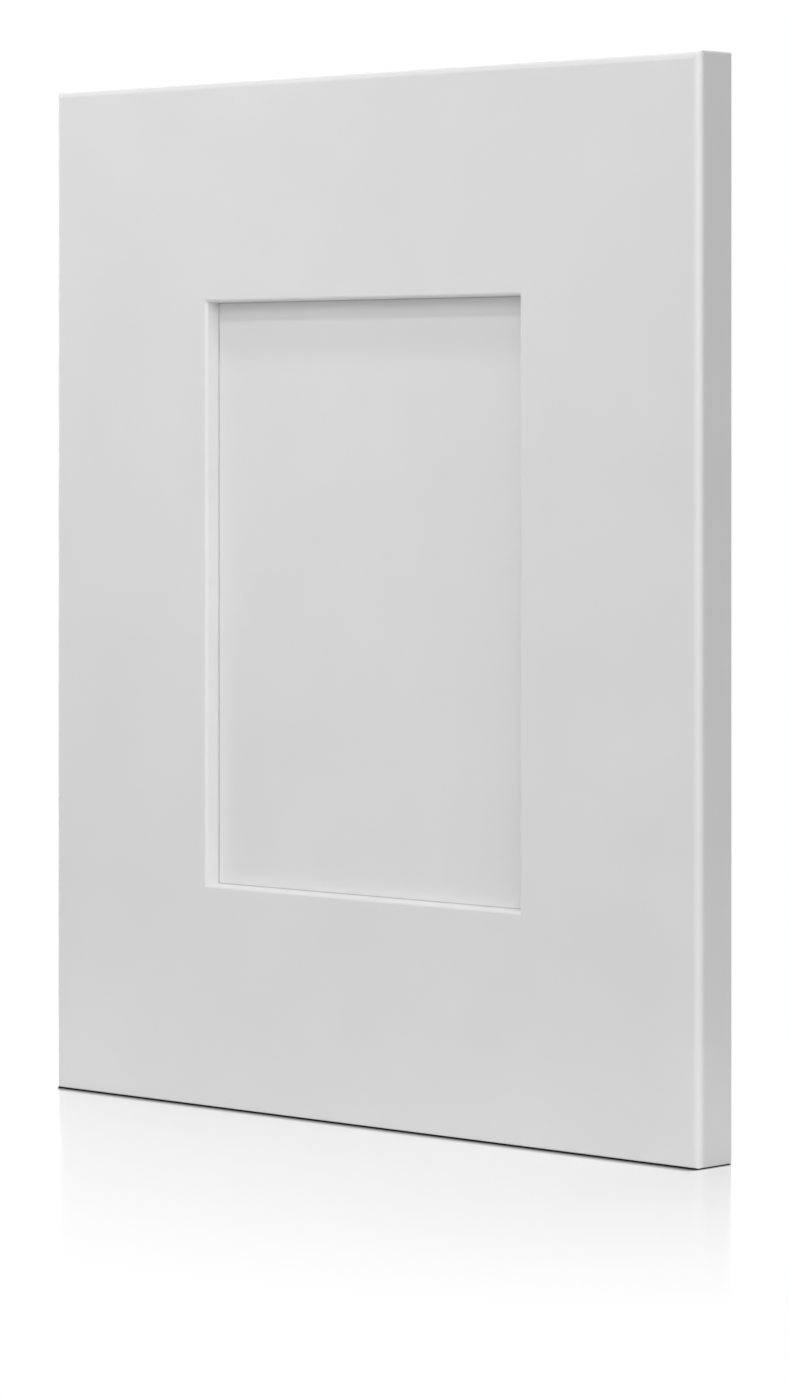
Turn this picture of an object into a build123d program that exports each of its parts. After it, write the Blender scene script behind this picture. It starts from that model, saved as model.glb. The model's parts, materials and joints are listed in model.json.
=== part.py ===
from build123d import *
import os

# Painted five-piece cabinet door: two full-height stiles, two rails with stub
# tenons, and a flat panel that floats on rubber spacers in a groove.
# Millimetres. X runs to the right as seen from the front, Z is up, and the
# front face looks along -Y. The origin is the middle of the bottom edge.

# Overall size
door_width = 347.0
door_height = 412.0
door_thickness = 19.0

# Frame members
stile_width = 89.0
rail_width = 89.0

# Groove round the opening, and what floats in it
front_lip = 7.0
groove_depth = 11.0
panel_thickness = 6.0
panel_gap = 0.2
panel_edge_bevel = 0.6

# Stub tenons
tenon_end_gap = 0.2

# Eased edges
front_edge_radius = 3.2
bottom_edge_radius = 0.8
corner_radius = 1.0
front_opening_radius = 1.5
back_edge_bevel = 0.3
back_opening_bevel = 0.25

# Rubber spacers between the panel and the bottom of the groove
spacer_thickness = 3.0
spacer_length = 25.0
spacer_side_gap = 0.4
spacer_corner_radius = 1.2
spacer_inset = 40.0

# Hinge borings in the back of the left stile
cup_diameter = 35.0
cup_depth = 13.0
cup_edge_margin = 5.0
cup_end_distance = 96.0
dowel_hole_diameter = 8.0
dowel_hole_depth = 11.0
dowel_hole_spacing = 45.0
dowel_hole_offset = 9.5

# Faces and lines that follow from the sizes above
half_width = door_width / 2
mid_height = door_height / 2
front_y = -door_thickness / 2
back_y = door_thickness / 2
opening_half_width = half_width - stile_width
opening_top = door_height - rail_width
opening_bottom = rail_width
groove_front = front_y + front_lip
groove_width = panel_gap + panel_thickness
groove_back = groove_front + groove_width
groove_middle = (groove_front + groove_back) / 2
panel_insertion = groove_depth - spacer_thickness
tenon_length = groove_depth - tenon_end_gap

# Planes whose first axis runs across a member and whose second runs front to back
stile_plane = Plane.XY
rail_plane = Plane(origin=(0, 0, 0), x_dir=(0, 0, 1), z_dir=(-1, 0, 0))


def grooved_section(plane, opening_edge, member_width):
    """Section of a frame member, with the groove and the eased edges of the opening."""
    with BuildSketch(plane) as section:
        with Locations((opening_edge, 0)):
            Rectangle(member_width, door_thickness, align=(Align.MIN, Align.CENTER))
        with Locations((opening_edge, groove_front)):
            Rectangle(groove_depth, groove_width, align=Align.MIN, mode=Mode.SUBTRACT)
        front_corner = section.vertices().group_by(Axis.X)[0].sort_by(Axis.Y)[0]
        fillet(front_corner, front_opening_radius)
        back_corner = section.vertices().group_by(Axis.X)[0].sort_by(Axis.Y)[-1]
        chamfer(back_corner, back_opening_bevel)
    return section.sketch


def moulded_section(plane, middle, width, first_radius):
    """Section of the whole door, with the edges that are eased once it is glued up.

    The first radius is for the front edge at the lower end of the section's first axis.
    """
    with BuildSketch(plane) as section:
        with Locations((middle, 0)):
            Rectangle(width, door_thickness)
        first_corner = section.vertices().group_by(Axis.Y)[0].sort_by(Axis.X)[0]
        fillet(first_corner, first_radius)
        last_corner = section.vertices().group_by(Axis.Y)[0].sort_by(Axis.X)[-1]
        fillet(last_corner, front_edge_radius)
        chamfer(section.vertices().group_by(Axis.Y)[-1], back_edge_bevel)
    return section.sketch


def finish_piece(piece, name):
    """Name a finished piece and write it to its own file."""
    piece.part.label = name
    export_step(piece.part, f"parts/{name}.step")


os.makedirs("parts", exist_ok=True)

# Outer form of the glued-up door, which every frame member is trimmed to
with BuildPart() as outer_form:
    with BuildSketch(Plane.XZ) as front_outline:
        with Locations((0, mid_height)):
            RectangleRounded(door_width, door_height, corner_radius)
    extrude(amount=door_thickness, both=True)
    level_section = moulded_section(stile_plane, 0, door_width, front_edge_radius)
    extrude(level_section, amount=door_height, mode=Mode.INTERSECT)
    upright_section = moulded_section(rail_plane, mid_height, door_height, bottom_edge_radius)
    extrude(upright_section, amount=half_width, both=True, mode=Mode.INTERSECT)

# Stiles
with BuildPart() as stile_blank:
    stile_section = grooved_section(stile_plane, opening_half_width, stile_width)
    extrude(stile_section, amount=door_height)

with BuildPart() as right_stile:
    add(stile_blank.part)
    add(outer_form.part, mode=Mode.INTERSECT)
finish_piece(right_stile, "right_stile")

cup_x = -half_width + cup_edge_margin + cup_diameter / 2
with BuildPart() as left_stile:
    mirror(right_stile.part, about=Plane.YZ)
    for cup_z in (cup_end_distance, door_height - cup_end_distance):
        with Locations(Plane(origin=(cup_x, back_y, cup_z), x_dir=(1, 0, 0), z_dir=(0, 1, 0))):
            Hole(cup_diameter / 2, depth=cup_depth)
            with Locations((dowel_hole_offset, 0)):
                with GridLocations(0, dowel_hole_spacing, 1, 2):
                    Hole(dowel_hole_diameter / 2, depth=dowel_hole_depth)
finish_piece(left_stile, "left_stile")

# Rails, coped over the stiles so that their tenons fill the stiles' grooves
with BuildPart() as rail_blank:
    rail_section = grooved_section(rail_plane, opening_top, rail_width)
    extrude(rail_section, amount=opening_half_width + tenon_length, both=True)
    add(stile_blank.part, mode=Mode.SUBTRACT)
    mirror(stile_blank.part, about=Plane.YZ, mode=Mode.SUBTRACT)

with BuildPart() as top_rail:
    add(rail_blank.part)
    add(outer_form.part, mode=Mode.INTERSECT)
finish_piece(top_rail, "top_rail")

with BuildPart() as bottom_rail:
    mirror(rail_blank.part, about=Plane.XY.offset(mid_height))
    add(outer_form.part, mode=Mode.INTERSECT)
finish_piece(bottom_rail, "bottom_rail")

# Panel, held by the groove and lying against its back wall
with BuildPart() as centre_panel:
    with BuildSketch(Plane.XZ.offset(-groove_back)) as panel_outline:
        with Locations((0, mid_height)):
            Rectangle(
                2 * (opening_half_width + panel_insertion),
                opening_top - opening_bottom + 2 * panel_insertion,
            )
    extrude(amount=panel_thickness)
    panel_faces = centre_panel.faces().sort_by(Axis.Y)
    chamfer(panel_faces[0].edges() + panel_faces[-1].edges(), panel_edge_bevel)
finish_piece(centre_panel, "centre_panel")

# Spacers, two on each side of the panel
side_x = opening_half_width + panel_insertion + spacer_thickness / 2
upper_z = opening_top + panel_insertion + spacer_thickness / 2
lower_z = opening_bottom - panel_insertion - spacer_thickness / 2
side_spacer_heights = {
    "upper": opening_top - spacer_inset,
    "lower": opening_bottom + spacer_inset,
}
end_spacer_places = {
    "left": -opening_half_width + spacer_inset,
    "right": opening_half_width - spacer_inset,
}
spacer_places = {}
for level, height in side_spacer_heights.items():
    for side, x in (("left", -side_x), ("right", side_x)):
        spacer_places[f"spacer_{side}_{level}"] = (Plane.XY.offset(height), x)
for side, x in end_spacer_places.items():
    for end, z in (("top", upper_z), ("bottom", lower_z)):
        spacer_places[f"spacer_{end}_{side}"] = (rail_plane.offset(-x), z)

for spacer_name, (section_plane, across) in spacer_places.items():
    with BuildPart() as spacer:
        with BuildSketch(section_plane) as spacer_section:
            with Locations((across, groove_middle)):
                RectangleRounded(
                    spacer_thickness,
                    groove_width - 2 * spacer_side_gap,
                    spacer_corner_radius,
                )
        extrude(amount=spacer_length / 2, both=True)
    finish_piece(spacer, spacer_name)
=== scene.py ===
import json
import math

import bpy
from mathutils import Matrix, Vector


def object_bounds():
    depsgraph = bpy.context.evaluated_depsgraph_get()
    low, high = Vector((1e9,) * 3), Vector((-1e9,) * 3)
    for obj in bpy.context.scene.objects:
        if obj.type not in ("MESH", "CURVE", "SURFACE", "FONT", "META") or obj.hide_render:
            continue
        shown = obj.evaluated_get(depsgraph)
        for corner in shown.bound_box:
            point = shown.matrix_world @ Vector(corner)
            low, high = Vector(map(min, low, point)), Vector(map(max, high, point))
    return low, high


# Painted cabinet door that stands upright on a glossy white floor. Metres. X runs to the
# right as seen from the front, Z is up, and the front face looks along -Y.

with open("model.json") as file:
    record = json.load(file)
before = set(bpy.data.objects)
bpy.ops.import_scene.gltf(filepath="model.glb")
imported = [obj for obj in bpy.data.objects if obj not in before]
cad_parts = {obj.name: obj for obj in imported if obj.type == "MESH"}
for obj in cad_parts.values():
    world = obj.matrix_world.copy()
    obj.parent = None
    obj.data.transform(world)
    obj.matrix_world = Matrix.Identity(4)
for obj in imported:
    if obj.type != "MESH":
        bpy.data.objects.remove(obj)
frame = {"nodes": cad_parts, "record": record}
cad_low, cad_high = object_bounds()

# Photograph's view: level camera with a rising front
PHOTO_HEIGHT_PX = 1400
HORIZON_ROW_PX = 423.5
FOCAL_LENGTH_PX = 5167.9
SENSOR_MM = 36.0
CAMERA_PLACE = (1.3964, -1.4704, 0.2744)
CAMERA_AZIMUTH = math.radians(43.31)
CAMERA_CLIP_START = 0.05
CAMERA_CLIP_END = 50.0

# Lower and upper end of what a noise texture mostly gives, and its detail
NOISE_LOW = 0.3
NOISE_HIGH = 0.7
NOISE_DETAIL = 2.0

# Lacquer
PAINT = 0.82
PAINT_VARIATION = 0.015
PAINT_CLOUD_SCALE = 18.0
PAINT_IOR = 1.75
PAINT_ROUGHNESS = 0.36
PAINT_ROUGHNESS_VARIATION = 0.03
PAINT_ROUGHNESS_SCALE = 60.0
PEEL_SCALE = 700.0
PEEL_DEPTH = 0.0002
PEEL_STRENGTH = 0.05

# Painted shadow line on the panel where it meets the frame: painted shade of the gap between
# them
GAP_SHADOW_SHADE = 0.55
GAP_SHADOW_WIDTH = 0.0003

# Bare board inside the hinge borings
BORED_NODE = "left_stile"
BORE_MARGIN = 0.0001
RAW_BOARD_LIGHT = (0.46, 0.31, 0.19, 1.0)
RAW_BOARD_DARK = (0.36, 0.23, 0.13, 1.0)
RAW_BOARD_ROUGHNESS = 0.85
RAW_BOARD_SCALE = 1500.0

# Rubber of the panel's spacers
RUBBER_DARK = 0.018
RUBBER_LIGHT = 0.035
RUBBER_ROUGHNESS = 0.8
RUBBER_SCALE = 900.0

# Floor. The light that it gives back to the door is painted: for rays the eye doesn't follow it
# glows, and is lighter in a pool near the door, most beside it
FLOOR_HALF = 6.0
FLOOR_WHITE = 0.92
FLOOR_ROUGHNESS = 0.15
FLOOR_BESIDE = 0.62
FLOOR_BEFORE = 0.40
FLOOR_FAR = 0.15
FLOOR_PAINTED_GLOW = 0.279
FLOOR_POOL = 0.17
FLOOR_CORNER = 0.02

# Share of plain white at the door's left end and to the right of it, all white at the end
FADE_LEFT = 0.19
FADE_RIGHT = 0.49
FADE_RIGHT_X = 0.30
FADE_END = 0.306

# Painted contact shadow: dark line at the door's foot
CONTACT_SHADOW_SHADE = 0.01
CONTACT_DARK = 0.0022
CONTACT_END = 0.0095
CONTACT_SIDE_SCALE = 3.0
CONTACT_CUT_SLANT = 0.94
CONTACT_CUT_FADE = 0.0015
CONTACT_LEFT_INSET = 0.001

# Middle of the door's height, which the lamps aim at
LAMP_AIM = (0.0, 0.0, 0.2)


def grey(level):
    return (level, level, level, 1.0)


class Nodes:
    """Short way to write a material's node tree."""

    def __init__(self, name):
        self.material = bpy.data.materials.new(name)
        self.material.use_nodes = True
        self.tree = self.material.node_tree
        self.tree.nodes.clear()
        self.output = self.add("ShaderNodeOutputMaterial")

    def add(self, kind, **settings):
        node = self.tree.nodes.new(kind)
        for key, value in settings.items():
            setattr(node, key, value)
        return node

    def feed(self, target, source):
        """Links a socket to the target, or sets a plain value on it."""
        if isinstance(source, bpy.types.NodeSocket):
            self.tree.links.new(source, target)
        else:
            target.default_value = source


def place(nodes):
    """Object coordinates, which are the door's own frame in metres."""
    return nodes.add("ShaderNodeTexCoord").outputs["Object"]


def along(nodes, vector, axis):
    """One coordinate of a vector."""
    node = nodes.add("ShaderNodeSeparateXYZ")
    nodes.feed(node.inputs["Vector"], vector)
    return node.outputs[axis]


def maths(nodes, operation, *values):
    node = nodes.add("ShaderNodeMath", operation=operation)
    for socket, value in zip(node.inputs, values):
        nodes.feed(socket, value)
    return node.outputs["Value"]


def vector_maths(nodes, operation, *values, output="Vector"):
    node = nodes.add("ShaderNodeVectorMath", operation=operation)
    for socket, value in zip(node.inputs, values):
        nodes.feed(socket, value)
    return node.outputs[output]


def map_range(nodes, value, start, end, low=0.0, high=1.0, kind="LINEAR"):
    """Maps start to end onto low to high, and stays there beyond them."""
    node = nodes.add("ShaderNodeMapRange", interpolation_type=kind)
    nodes.feed(node.inputs["Value"], value)
    nodes.feed(node.inputs["From Min"], start)
    nodes.feed(node.inputs["From Max"], end)
    nodes.feed(node.inputs["To Min"], low)
    nodes.feed(node.inputs["To Max"], high)
    return node.outputs["Result"]


def noise(nodes, vector, scale):
    node = nodes.add("ShaderNodeTexNoise")
    node.inputs["Scale"].default_value = scale
    node.inputs["Detail"].default_value = NOISE_DETAIL
    nodes.feed(node.inputs["Vector"], vector)
    return node.outputs["Fac"]


def spread_noise(nodes, vector, scale, low=0.0, high=1.0):
    """Noise that fills the range from low to high."""
    return map_range(nodes, noise(nodes, vector, scale), NOISE_LOW, NOISE_HIGH, low, high)


def mixed(nodes, factor, first, second):
    node = nodes.add("ShaderNodeMix", data_type="RGBA")
    nodes.feed(node.inputs["Factor"], factor)
    nodes.feed(node.inputs["A"], first)
    nodes.feed(node.inputs["B"], second)
    return node.outputs["Result"]


def layered(nodes, share, below, above):
    """Covers one surface with a share of another."""
    node = nodes.add("ShaderNodeMixShader")
    nodes.feed(node.inputs["Fac"], share)
    nodes.feed(node.inputs[1], below)
    nodes.feed(node.inputs[2], above)
    return node.outputs["Shader"]


def bore_circles():
    """Place across and up the door, and radius, of each boring that the record lists."""
    circles = []
    for mount in frame["record"]["mounts"]:
        x, _, z = mount["pos_m"]
        size = mount["dims"]
        if mount["kind"] == "bore":
            circles.append((x, z, size["r_mm"] / 1000))
        if mount["kind"] == "bolt_pattern":
            half = size["spacing_y_mm"] / 2000
            radius = size["hole_r_mm"] / 1000
            circles += [(x, z - half, radius), (x, z + half, radius)]
    return circles


def bored(nodes, vector):
    """1 on the walls and ends of the hinge borings, 0 on the painted faces."""
    middle = (cad_low.y + cad_high.y) / 2
    inner_half = (cad_high.y - cad_low.y) / 2 - BORE_MARGIN
    between_faces = maths(nodes, "COMPARE", along(nodes, vector, "Y"), middle, inner_half)
    flat = vector_maths(nodes, "MULTIPLY", vector, (1.0, 0.0, 1.0))
    in_circle = 0.0
    for x, z, radius in bore_circles():
        apart = vector_maths(nodes, "DISTANCE", flat, (x, 0.0, z), output="Value")
        inside = maths(nodes, "LESS_THAN", apart, radius + BORE_MARGIN)
        in_circle = maths(nodes, "MAXIMUM", in_circle, inside)
    return maths(nodes, "MULTIPLY", in_circle, between_faces)


def extent(node):
    """Lowest and highest corner of a CAD node."""
    piece = frame["nodes"][node]
    corners = [piece.matrix_world @ Vector(corner) for corner in piece.bound_box]
    least = Vector(min(c[axis] for c in corners) for axis in range(3))
    most = Vector(max(c[axis] for c in corners) for axis in range(3))
    return least, most


def gap_shadow_mask(nodes, vector):
    """Mask of the painted gap shadow: 1 on the panel in a hairline along the edges of the
    opening, and beyond it.
    """
    right = extent("right_stile")[0].x
    bottom = extent("bottom_rail")[1].z
    top = extent("top_rail")[0].z
    half_height = (top - bottom) / 2
    centred = vector_maths(nodes, "SUBTRACT", vector, (0.0, 0.0, (top + bottom) / 2))
    mirrored = vector_maths(nodes, "ABSOLUTE", centred)
    across = along(nodes, mirrored, "X")
    upright = along(nodes, mirrored, "Z")
    beside_stile = maths(nodes, "GREATER_THAN", across, right - GAP_SHADOW_WIDTH)
    beside_rail = maths(nodes, "GREATER_THAN", upright, half_height - GAP_SHADOW_WIDTH)
    return maths(nodes, "MAXIMUM", beside_stile, beside_rail)


def orange_peel(nodes, vector):
    """Normals of the slightly uneven skin that sprayed lacquer has."""
    node = nodes.add("ShaderNodeBump")
    node.inputs["Strength"].default_value = PEEL_STRENGTH
    node.inputs["Distance"].default_value = PEEL_DEPTH
    nodes.feed(node.inputs["Height"], noise(nodes, vector, PEEL_SCALE))
    return node.outputs["Normal"]


def lacquer(name, with_bores=False, with_gap_shadow=False):
    """Sprayed satin lacquer: even colour, faint orange peel, slightly uneven gloss, and where
    asked a painted shadow line along the frame.
    """
    nodes = Nodes(name)
    vector = place(nodes)
    darker = grey(PAINT * (1 - PAINT_VARIATION))
    lighter = grey(PAINT * (1 + PAINT_VARIATION))
    colour = mixed(nodes, spread_noise(nodes, vector, PAINT_CLOUD_SCALE), darker, lighter)
    smoothest = PAINT_ROUGHNESS - PAINT_ROUGHNESS_VARIATION
    roughest = PAINT_ROUGHNESS + PAINT_ROUGHNESS_VARIATION
    roughness = spread_noise(nodes, vector, PAINT_ROUGHNESS_SCALE, smoothest, roughest)

    if with_bores:
        raw = bored(nodes, vector)
        grain = spread_noise(nodes, vector, RAW_BOARD_SCALE)
        colour = mixed(nodes, raw, colour, mixed(nodes, grain, RAW_BOARD_DARK, RAW_BOARD_LIGHT))
        roughness = map_range(nodes, raw, 0.0, 1.0, roughness, RAW_BOARD_ROUGHNESS)
    # Painted shade: a darker hairline on the panel stands in for the shadow in the gap at the
    # frame
    if with_gap_shadow:
        colour = mixed(nodes, gap_shadow_mask(nodes, vector), colour, grey(GAP_SHADOW_SHADE))

    shader = nodes.add("ShaderNodeBsdfPrincipled")
    nodes.feed(shader.inputs["Base Color"], colour)
    nodes.feed(shader.inputs["Roughness"], roughness)
    nodes.feed(shader.inputs["IOR"], PAINT_IOR)
    nodes.feed(shader.inputs["Normal"], orange_peel(nodes, vector))
    nodes.feed(nodes.output.inputs["Surface"], shader.outputs["BSDF"])
    return nodes.material


def rubber(name):
    """Dull black rubber with a fine grain."""
    nodes = Nodes(name)
    grain = spread_noise(nodes, place(nodes), RUBBER_SCALE)
    shader = nodes.add("ShaderNodeBsdfPrincipled")
    colour = mixed(nodes, grain, grey(RUBBER_DARK), grey(RUBBER_LIGHT))
    nodes.feed(shader.inputs["Base Color"], colour)
    nodes.feed(shader.inputs["Roughness"], RUBBER_ROUGHNESS)
    nodes.feed(nodes.output.inputs["Surface"], shader.outputs["BSDF"])
    return nodes.material


def outside_footprint(nodes):
    """How far a place on the floor lies outside the door's footprint, along each axis."""
    mirrored = vector_maths(nodes, "ABSOLUTE", place(nodes))
    beyond = vector_maths(nodes, "SUBTRACT", mirrored, (cad_high.x, cad_high.y, 0.0))
    return vector_maths(nodes, "MAXIMUM", beyond, (0.0, 0.0, 0.0))


def painted_bounce_tone(nodes, outside, distance):
    """Painted bounce light: grey of the floor for light rays, lighter in a pool near the door
    and beside it, darkest far away.
    """
    past_corner = map_range(
        nodes, along(nodes, outside, "X"), 0.0, FLOOR_CORNER, kind="SMOOTHSTEP"
    )
    near = mixed(nodes, past_corner, grey(FLOOR_BEFORE), grey(FLOOR_BESIDE))
    away = map_range(nodes, distance, 0.0, FLOOR_POOL, kind="SMOOTHSTEP")
    return mixed(nodes, away, near, grey(FLOOR_FAR))


def white_share(nodes, distance):
    """Share of plain white. It grows away from the door, and starts lower at its left end."""
    across = along(nodes, place(nodes), "X")
    start = map_range(nodes, across, cad_low.x, FADE_RIGHT_X, FADE_LEFT, FADE_RIGHT)
    return map_range(nodes, distance, 0.0, FADE_END, start, 1.0)


def contact_shadow_share(nodes, outside):
    """Painted contact shadow: its darkness, narrower beside the door than before and behind it.

    A slanting cut ends it at the front left and the back right corner.
    """
    uneven = vector_maths(nodes, "MULTIPLY", outside, (CONTACT_SIDE_SCALE, 1.0, 0.0))
    reach = vector_maths(nodes, "LENGTH", uneven, output="Value")
    dark = map_range(nodes, reach, CONTACT_DARK, CONTACT_END, 1.0, 0.0)

    cut_direction = (1.0, CONTACT_CUT_SLANT, 0.0)
    slanting = vector_maths(nodes, "DOT_PRODUCT", place(nodes), cut_direction, output="Value")
    right_cut = cad_high.x + CONTACT_CUT_SLANT * cad_high.y
    left_cut = CONTACT_LEFT_INSET - right_cut
    past_left = map_range(nodes, slanting, left_cut, left_cut + CONTACT_CUT_FADE)
    before_right = map_range(nodes, slanting, right_cut, right_cut - CONTACT_CUT_FADE)
    between_cuts = maths(nodes, "MULTIPLY", past_left, before_right)
    return maths(nodes, "MULTIPLY", dark, between_cuts)


def gloss_floor(name):
    """Glossy white floor, with a painted glow and pool of bounce light for light rays.

    To the eye alone it fades to plain white away from the door and has a painted contact
    shadow.
    """
    nodes = Nodes(name)
    outside = outside_footprint(nodes)
    distance = vector_maths(nodes, "LENGTH", outside, output="Value")
    seen = nodes.add("ShaderNodeLightPath").outputs["Is Camera Ray"]
    unseen = maths(nodes, "SUBTRACT", 1.0, seen)

    gloss = nodes.add("ShaderNodeBsdfPrincipled")
    # Painted bounce light: light rays meet the painted pool's grey, the eye meets plain white
    tone = mixed(nodes, unseen, grey(FLOOR_WHITE), painted_bounce_tone(nodes, outside, distance))
    nodes.feed(gloss.inputs["Base Color"], tone)
    nodes.feed(gloss.inputs["Roughness"], FLOOR_ROUGHNESS)
    nodes.feed(gloss.inputs["Emission Color"], grey(1.0))
    # Painted glow: for light rays the floor shines on the door, though it is no lamp
    nodes.feed(gloss.inputs["Emission Strength"], maths(nodes, "MULTIPLY", FLOOR_PAINTED_GLOW, unseen))

    white = nodes.add("ShaderNodeEmission")
    nodes.feed(white.inputs["Color"], grey(1.0))
    nodes.feed(white.inputs["Strength"], 1.0)
    white_seen = maths(nodes, "MULTIPLY", white_share(nodes, distance), seen)
    faded = layered(nodes, white_seen, gloss.outputs["BSDF"], white.outputs["Emission"])

    # Painted contact shadow: a dark sheet at the door's foot that the eye alone sees
    dark = nodes.add("ShaderNodeBsdfDiffuse")
    nodes.feed(dark.inputs["Color"], grey(CONTACT_SHADOW_SHADE))
    contact_shadow_seen = maths(nodes, "MULTIPLY", contact_shadow_share(nodes, outside), seen)
    surface = layered(nodes, contact_shadow_seen, faded, dark.outputs["BSDF"])
    nodes.feed(nodes.output.inputs["Surface"], surface)
    return nodes.material


def dress(node, material):
    """Gives every slot of a CAD node the material."""
    for slot in frame["nodes"][node].material_slots:
        slot.material = material


def dress_door():
    materials = {
        "frame_paint": lacquer("frame_lacquer"),
        # The panel's lacquer carries the painted shadow line along the frame
        "panel_paint": lacquer("panel_lacquer", with_gap_shadow=True),
        "spacer_rubber": rubber("spacer_rubber"),
    }
    for part in frame["record"]["subparts"]:
        dress(part["node"], materials[part["material_slot"]])
    dress(BORED_NODE, lacquer("bored_lacquer", with_bores=True))


def make_floor():
    half = FLOOR_HALF
    mesh = bpy.data.meshes.new("floor")
    corners = [(-half, -half, 0), (half, -half, 0), (half, half, 0), (-half, half, 0)]
    mesh.from_pydata(corners, [], [(0, 1, 2, 3)])
    mesh.materials.append(gloss_floor("floor_gloss"))
    floor = bpy.data.objects.new("floor", mesh)
    bpy.context.scene.collection.objects.link(floor)


def make_camera():
    data = bpy.data.cameras.new("camera")
    data.sensor_fit = "AUTO"
    data.sensor_width = SENSOR_MM
    data.lens = FOCAL_LENGTH_PX / PHOTO_HEIGHT_PX * SENSOR_MM
    data.shift_y = (HORIZON_ROW_PX - PHOTO_HEIGHT_PX / 2) / PHOTO_HEIGHT_PX
    data.clip_start = CAMERA_CLIP_START
    data.clip_end = CAMERA_CLIP_END
    camera = bpy.data.objects.new("camera", data)
    bpy.context.scene.collection.objects.link(camera)
    camera.location = CAMERA_PLACE
    camera.rotation_euler = (math.pi / 2, 0.0, CAMERA_AZIMUTH)
    bpy.context.scene.camera = camera


def soft_light(name, azimuth, elevation, distance, size, power, aim=LAMP_AIM):
    """Square soft box that looks at the door. Azimuth 0 is in front of it, 90 to its right."""
    data = bpy.data.lights.new(name, "AREA")
    data.shape = "SQUARE"
    data.size = size
    data.energy = power
    light = bpy.data.objects.new(name, data)
    bpy.context.scene.collection.objects.link(light)
    a = math.radians(azimuth)
    e = math.radians(elevation)
    away = Vector((math.sin(a) * math.cos(e), -math.cos(a) * math.cos(e), math.sin(e)))
    light.location = Vector(aim) + distance * away
    light.rotation_euler = away.to_track_quat("Z", "Y").to_euler()
    return light


def make_lights():
    """Two small high lamps for the shadow under the top lip, and large boxes round the door."""
    soft_light("key", azimuth=-10, elevation=51.2, distance=2.2, size=0.14, power=7.2)
    soft_light("high_key", azimuth=20, elevation=72.5, distance=2.5, size=0.28, power=15.4)
    soft_light("front_right", azimuth=30, elevation=12, distance=3.0, size=2.4, power=15.7)
    soft_light("right", azimuth=50, elevation=28, distance=3.5, size=3.6, power=57.2)
    soft_light("low_right", azimuth=80, elevation=8.4, distance=2.5, size=0.5, power=6.0)
    soft_light("front_left", azimuth=-65, elevation=12, distance=3.0, size=2.4, power=14.4)
    soft_light("left", azimuth=-90, elevation=12, distance=3.0, size=2.4, power=13.8)
    soft_light("back_left", azimuth=-120, elevation=25, distance=3.5, size=3.6, power=80.0)
    soft_light("back", azimuth=180, elevation=55, distance=3.0, size=3.0, power=6.9)

    # Narrow beam on the door's upper left corner
    upper_left = soft_light(
        "upper_left",
        azimuth=-30,
        elevation=25,
        distance=1.5,
        size=0.5,
        power=0.09,
        aim=(-0.15, 0.0, 0.40),
    )
    upper_left.data.spread = math.radians(20)


def make_world():
    """White to the eye, dark as light."""
    world = bpy.data.worlds.new("studio")
    bpy.context.scene.world = world
    world.use_nodes = True
    tree = world.node_tree
    tree.nodes.clear()
    output = tree.nodes.new("ShaderNodeOutputWorld")
    path = tree.nodes.new("ShaderNodeLightPath")
    white = tree.nodes.new("ShaderNodeBackground")
    white.inputs["Color"].default_value = grey(1.0)
    tree.links.new(path.outputs["Is Camera Ray"], white.inputs["Strength"])
    tree.links.new(white.outputs["Background"], output.inputs["Surface"])


dress_door()
make_floor()
make_camera()
make_lights()
make_world()
bpy.context.scene.view_settings.view_transform = "Standard"
